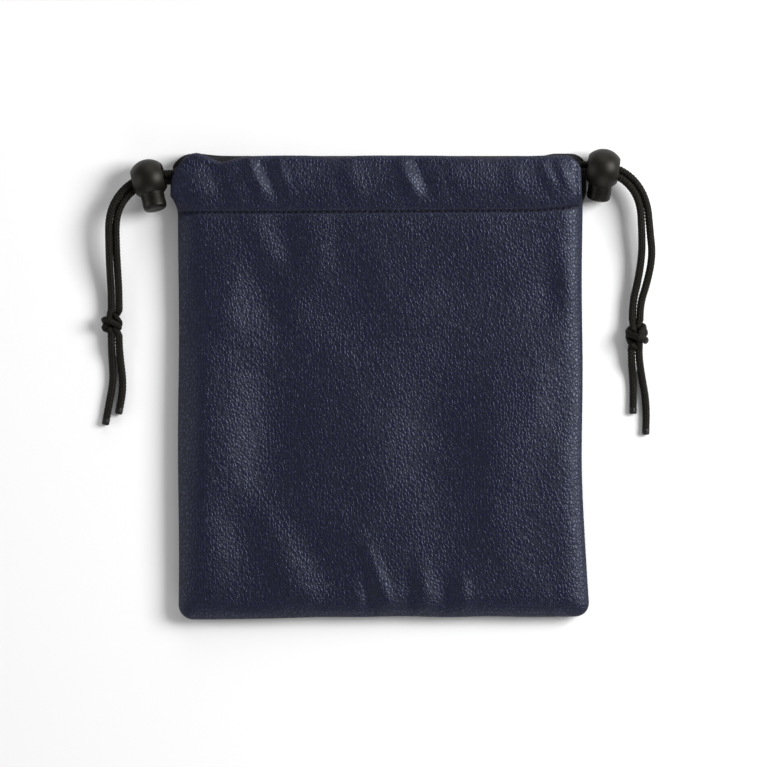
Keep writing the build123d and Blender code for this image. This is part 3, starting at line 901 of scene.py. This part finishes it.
def with_lip(points, top_row, up):
    """A panel's points and faces, with its edge turned in at the seam. up is -1 for the front
    panel, whose edge turns down, and 1 for the back panel."""
    rows, columns = points.shape[:2]
    faces = grid_faces(rows, columns)
    flat = points.reshape(-1, 3)
    edge = panel_edge(rows, columns, top_row)
    line = flat[edge]
    inward = inward_normals(line)
    reach = 1.5 + 2.3 * smooth((line[:, 1] - STITCH_Y) / 4)
    all_points, all_faces, before = [flat], [faces], edge
    for n, (share, fall) in enumerate(LIP_PROFILE):
        ring = line + inward * (share * reach)[:, None]
        ring[:, 2] += up * fall * LIP
        all_points.append(ring)
        after = len(flat) + n * len(edge) + np.arange(len(edge))
        all_faces.append(np.stack([before[1:], before[:-1], after[:-1], after[1:]], axis=1))
        before = after
    faces = np.concatenate(all_faces)
    return np.concatenate(all_points), faces if up < 0 else faces[:, ::-1]


def leather_panel(name, points, top_row, up, replaces):
    """A panel of leather-look sheet, with its black backing on the inner face."""
    vertices, faces = with_lip(points, top_row, up)
    piece = make_piece(name, vertices, faces, LEATHER_LOOK, "bag", replaces)
    piece.data.materials.append(LINING_LOOK)
    thicken(piece, LEATHER, backing=1)
    return piece


def front_panel():
    """The front: body, hem and the fold at the mouth."""
    x, y, edge = panel_plan(TOP_Y - FRONT_FOLD, front_top_edge, -0.7, 1.1)
    points = np.stack([x, y, front_height(x, y, edge)], axis=-1)
    top_row = len(points) - 1
    points = fold_rows(points, edge[-1], FRONT_FOLD, 3.0, -1)
    return leather_panel("front_leather", points, top_row, -1, ["front_panel"])


# Where the back panel's upward faces are black: within BLACK_FOLD of the fold and above
# BLACK_FOLD_Z, and at the tunnel's ends past BLACK_END_X and BLACK_END_Y and above BLACK_END_Z.
BLACK_FOLD = 12
BLACK_FOLD_Z = 3.0
BLACK_END_X = 86
BLACK_END_Y = 84
BLACK_END_Z = 1.8


def back_panel():
    """The back: a shallow tray with its hem's fold at the mouth."""
    x, y, edge = panel_plan(TOP_Y - BACK_FOLD, back_top_edge, 1.9, 1.5)
    points = np.stack([x, y, back_height(x, y, edge)], axis=-1)
    top_row = len(points) - 1
    points = fold_rows(points, edge[-1], BACK_FOLD, 2.6, 1)
    piece = leather_panel("back_leather", points, top_row, 1, ["back_panel"])
    for face in piece.data.polygons:
        x, y, z = face.center / MM
        at_fold = y > back_top_edge(x) - BLACK_FOLD and z > BLACK_FOLD_Z
        at_tunnel_end = y > BLACK_END_Y and abs(x) > BLACK_END_X and z > BLACK_END_Z
        if (at_fold or at_tunnel_end) and face.normal.z > 0.3:
            face.material_index = 1
    return piece


# ---- lining ----
def lining_sheet(name, height, gap, replaces):
    """A lining just inside a panel, from the bottom seam to the hem stitching."""
    x, y, edge = panel_plan(STITCH_Y + 1, front_top_edge, 0, 2.2)
    inner = 1 - LINING_INSET / HALF_WIDTH
    z = height(x, y, edge) + gap
    z = np.clip(z, SEAM_Z + 0.3, None) if gap < 0 else np.clip(z, None, SEAM_Z - 0.3)
    points = np.stack([x * inner, y * inner, z], axis=-1).reshape(-1, 3)
    faces = grid_faces(*x.shape)
    faces = faces if gap < 0 else faces[:, ::-1]
    piece = make_piece(name, points, faces, LINING_LOOK, "bag", replaces)
    thicken(piece, LINING)
    return piece


def facing_sheet(name, low_x, high_x, low_y, high_y, height, replaces):
    """The black inner ply of a tunnel, from the stitching to the fold. low_y and high_y are
    functions of x, and height is a function of x and y."""
    x, share = np.meshgrid(np.linspace(low_x, high_x, 150), np.linspace(0, 1, 26))
    y = low_y(x) + (high_y(x) - low_y(x)) * share
    points = np.stack([x, y, height(x, y)], axis=-1).reshape(-1, 3)
    piece = make_piece(name, points, grid_faces(*x.shape), LINING_LOOK, "bag", replaces)
    thicken(piece, LINING)
    return piece


def front_facing():
    """The front tunnel's inner ply, which hangs just under the returned leather."""
    def height(x, y):
        return 9.95 + 0.15 * noise_field(x, y, 9, 4.4) - 0.3 * hill(y - STITCH_Y, 3)

    return facing_sheet(
        "front_tunnel_facing", -80, 74, lambda x: STITCH_Y - 0.6 + 0 * x,
        lambda x: front_top_edge(x) - 1.0, height, ["front_channel_facing"],
    )


def back_facing():
    """The back tunnel's inner ply, which rises from the stitching over the cord to the fold and,
    past the tunnel's ends, only covers the fold."""
    def low_y(x):
        past_end = np.maximum(x - 63, -66 - x)
        return np.minimum(STITCH_Y - 0.6 + 22.5 * smooth(past_end / 8), back_top_edge(x) - 3)

    def height(x, y):
        rise = smooth((y - STITCH_Y) / 8)
        return 1.9 + 3.85 * rise + 0.12 * noise_field(x, y, 9, 8.1)

    return facing_sheet(
        "back_tunnel_facing", -96.4, 94.6, low_y,
        lambda x: back_top_edge(x) - 0.25, height, ["back_channel_facing"],
    )


# ---- stitching ----
def stitch_mesh(start, end, arch):
    """One stitch of two-ply thread from start to end, raised by arch at its middle."""
    steps = np.linspace(0, 1, STITCH_RINGS)[:, None]
    line = start + (end - start) * steps
    line[:, 2] += arch * np.sin(math.pi * steps[:, 0])
    sides, others = carried_frames(line)
    angle = np.linspace(0, 2 * math.pi, STITCH_SIDES, endpoint=False)[None, :]
    along = line_lengths(line)[:, None]
    taper = np.clip(np.sin(math.pi * (0.1 + 0.8 * steps)) ** 0.4, 0.3, 1)
    reach = THREAD / 2 * taper * (0.9 + 0.1 * np.cos(2 * (angle - 3.2 * along)))
    ring = np.cos(angle)[..., None] * sides[:, None, :] + np.sin(angle)[..., None] * others[:, None, :]
    points = (line[:, None, :] + ring * reach[..., None]).reshape(-1, 3)
    faces = grid_faces(STITCH_RINGS, STITCH_SIDES, closed=True).tolist()
    faces.append(list(range(STITCH_SIDES))[::-1])
    faces.append(list(range(len(points) - STITCH_SIDES, len(points))))
    return points, faces


def stitch_row(name, starts, ends, arch, replaces):
    """A row of stitches as one piece."""
    points, faces, count = [], [], 0
    for start, end in zip(starts, ends):
        made, made_faces = stitch_mesh(start, end, arch)
        faces += [[i + count for i in face] for face in made_faces]
        points.append(made)
        count += len(made)
    return make_piece(name, np.vstack(points), faces, THREAD_LOOK, "bag", replaces)


def hem_stitches(name, height, lift, arch, replaces):
    """The stitches across a hem, each a little off the line, lifted off the leather by lift and
    raised by arch at their middles."""
    count = int(STITCHED_WIDTH / STITCH_PITCH)
    middle = (np.arange(count) - (count - 1) / 2) * STITCH_PITCH
    wander = 0.12 * np.sin(middle * 1.7) + 0.08 * np.sin(middle * 0.61 + 1)
    ends = []
    for side in (-1, 1):
        x = middle + side * STITCH_PITCH * 0.40
        y = stitch_line(x) + wander + side * 0.10
        edge = np.minimum(x - left_edge(y), right_edge(y, 0) - x)
        ends.append(np.stack([x, y, height(x, y, edge) + lift], axis=1))
    return stitch_row(name, ends[0], ends[1], arch, replaces)


def seam_stitches():
    """Stitches that hold the turned seam, in the valley between the two panels."""
    x, y, _ = panel_plan(STITCH_Y, front_top_edge, 0, 1.5)
    flat = np.stack([x, y, np.full(x.shape, SEAM_Z - 0.02)], axis=-1)
    line = flat.reshape(-1, 3)[panel_edge(*x.shape, len(x) - 1)]
    inset = line + inward_normals(line) * SEAM_INSET
    count = int(line_lengths(inset)[-1] / STITCH_PITCH)
    dense = even_line(inset, STITCH_PITCH / 10)
    starts = dense[0 : 10 * count : 10]
    ends = dense[8 : 10 * count : 10]
    return stitch_row("seam_stitches", starts[: len(ends)], ends, 0.0, ["seam_thread"])


front_leather = front_panel()
back_leather = back_panel()
front_lining = lining_sheet("front_lining_sheet", front_height, -LINING_GAP, ["front_lining"])
back_lining = lining_sheet("back_lining_sheet", back_height, LINING_GAP, ["back_lining"])
front_tunnel_facing = front_facing()
back_tunnel_facing = back_facing()
hem_stitches("front_hem_stitches", front_height, -0.12, 0.42, ["front_hem_thread"])
hem_stitches("back_hem_stitches", back_height, 0.12, -0.42, ["back_hem_thread"])
seam_stitches()


# ---- tails ----
# The melted end's outline: distance from its end and radius.
TIP_OUTLINE = np.array([
    (-2.9, 1.55), (-2.7, 1.76), (-2.2, 1.82), (-1.5, 1.78), (-0.9, 1.80),
    (-0.35, 1.66), (-0.08, 1.25), (0.0, 0.7),
])
TIP_SIDES = 28


def tip_piece(name, line):
    """The melted end of a tail: a lumpy cap over the last of its length."""
    end = line[-1]
    axis = unit(line[-1] - line[-4])
    centres = end + axis * TIP_OUTLINE[:, :1]
    side = unit(np.cross(axis, (0, 0, 1)))
    other = np.cross(axis, side)
    angle = np.linspace(0, 2 * math.pi, TIP_SIDES, endpoint=False)
    ring = np.cos(angle)[:, None] * side + np.sin(angle)[:, None] * other
    points = centres[:, None, :] + ring[None] * TIP_OUTLINE[:, 1][:, None, None]
    lumps = [0.1 * noise.noise(Vector(p / 0.9)) for p in points.reshape(-1, 3)]
    points = points.reshape(-1, 3) + np.tile(ring, (len(centres), 1)) * np.array(lumps)[:, None]
    points = np.vstack([points, end])
    faces = grid_faces(len(centres), TIP_SIDES, closed=True)[:, ::-1].tolist()
    start = (len(centres) - 1) * TIP_SIDES
    faces += [(start + k, len(points) - 1, start + (k + 1) % TIP_SIDES) for k in range(TIP_SIDES)]
    points[:, 2] = np.maximum(points[:, 2], FLOOR_GAP)
    return make_piece(name + "_melted_end", points, faces, TIP_LOOK, "bag", [name + "_tip"])


def tail(name, route):
    """A loose tail with its melted end."""
    line = smooth_line(route)
    line = np.vstack([line, line[-1] + unit(line[-1] - line[-3]) * TIP_LENGTH])
    from_end = line_lengths(line)[-1] - line_lengths(line)
    radius = CORD_DIAMETER / 2 * (0.8 + 0.2 * smooth((from_end - 1.2) / 1.6))
    piece = cord_piece(name + "_cord", line, [name], radius)
    return piece, tip_piece(name, line), line


def declare_cord(piece, line, far_end, with_pieces):
    """Works out a free cord's path, at points 1 mm apart, and its real length, and keeps neither."""
    path = even_line(line, 1.0) * MM
    line_lengths(line)[-1] * MM
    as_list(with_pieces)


# ---- ball cord locks and springs, whose shapes are the CAD model's ----
def finish_locks():
    """Gives the locks' CAD nodes their materials."""
    looks = {"housing": LOCK_LOOK, "plunger": BUTTON_LOOK, "spring": SPRING_LOOK}
    for side in ("left", "right"):
        for part, look in looks.items():
            node = frame["nodes"][f"{side}_lock_{part}"]
            node.data.materials.clear()
            node.data.materials.append(look)


def spring_coil(side):
    """A copy of a lock's spring, riding on its lock; it does not shorten as the button is pressed."""
    node = frame["nodes"][side + "_lock_spring"]
    press = next(joint for joint in frame["joints"] if joint["name"] == side + "_button_press")
    axis = np.array(press["axis"])
    coil = add_object(side + "_lock_coil", node.data.copy())
    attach(coil, side + "_lock")
    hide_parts(node.name)
    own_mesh(coil)
    return coil


finish_locks()


# ---- floor and light ----
def floor_material():
    """Matt white paper with a barely visible tooth."""
    s = Shader("floor", Specular_IOR_Level=0.2)
    tooth = s.noise(0.8, 3)
    colour = s.blend(tooth, rgb(0.86, 0.86, 0.86), rgb(0.88, 0.88, 0.88))
    return s.finish(colour, s.steps(tooth, 0.3, 0.7, 0.75, 0.85), s.bump(tooth, 0.02, 0.3))


def make_floor():
    """A plain pale floor under the pouch."""
    around = ((-1, -1), (1, -1), (1, 1), (-1, 1))
    corners = [(x * FLOOR_HALF * MM, y * FLOOR_HALF * MM, FLOOR_Z * MM) for x, y in around]
    mesh = bpy.data.meshes.new("floor")
    mesh.from_pydata(corners, [], [(0, 1, 2, 3)])
    mesh.materials.append(floor_material())
    add_object("floor", mesh)


def area_light(name, place, power, size):
    """A soft square light that faces the pouch."""
    data = bpy.data.lights.new(name, "AREA")
    data.energy = power
    data.size = size
    light = add_object(name, data)
    light.location = place
    light.rotation_euler = (-Vector(place)).to_track_quat("-Z", "Y").to_euler()


def make_lights():
    """A soft key from the upper right, weak fills from the other sides and a dim room."""
    area_light("key", (1.05, 0.34, 0.92), 29, 0.7)
    area_light("fill_left", (-1.35, -0.1, 0.6), 8.5, 1.2)
    area_light("fill_top", (0.1, 1.4, 0.62), 9, 1.2)
    area_light("fill_front", (0.1, -1.5, 0.62), 9, 1.2)
    world = bpy.data.worlds.new("room")
    world.use_nodes = True
    world.node_tree.nodes["Background"].inputs["Color"].default_value = (1, 1, 1, 1)
    world.node_tree.nodes["Background"].inputs["Strength"].default_value = 0.06
    bpy.context.scene.world = world
    bpy.context.scene.view_settings.view_transform = "Standard"


make_floor()
make_lights()


# ---- knots, spring copies and tails ----
def declare_all():
    for side in KNOTS:
        on_cord = [knot_piece(side), f"{side}_lock_housing", f"{side}_lock_plunger", spring_coil(side)]
        declare_cord(*CORD_RUNS[side + "_front"], "knot", on_cord)
        declare_cord(*CORD_RUNS[side + "_back"], "knot", [])
    for name, route in TAIL_ROUTES.items():
        piece, tip, line = tail(name, route)
        declare_cord(piece, line, "bare", [tip])


declare_all()
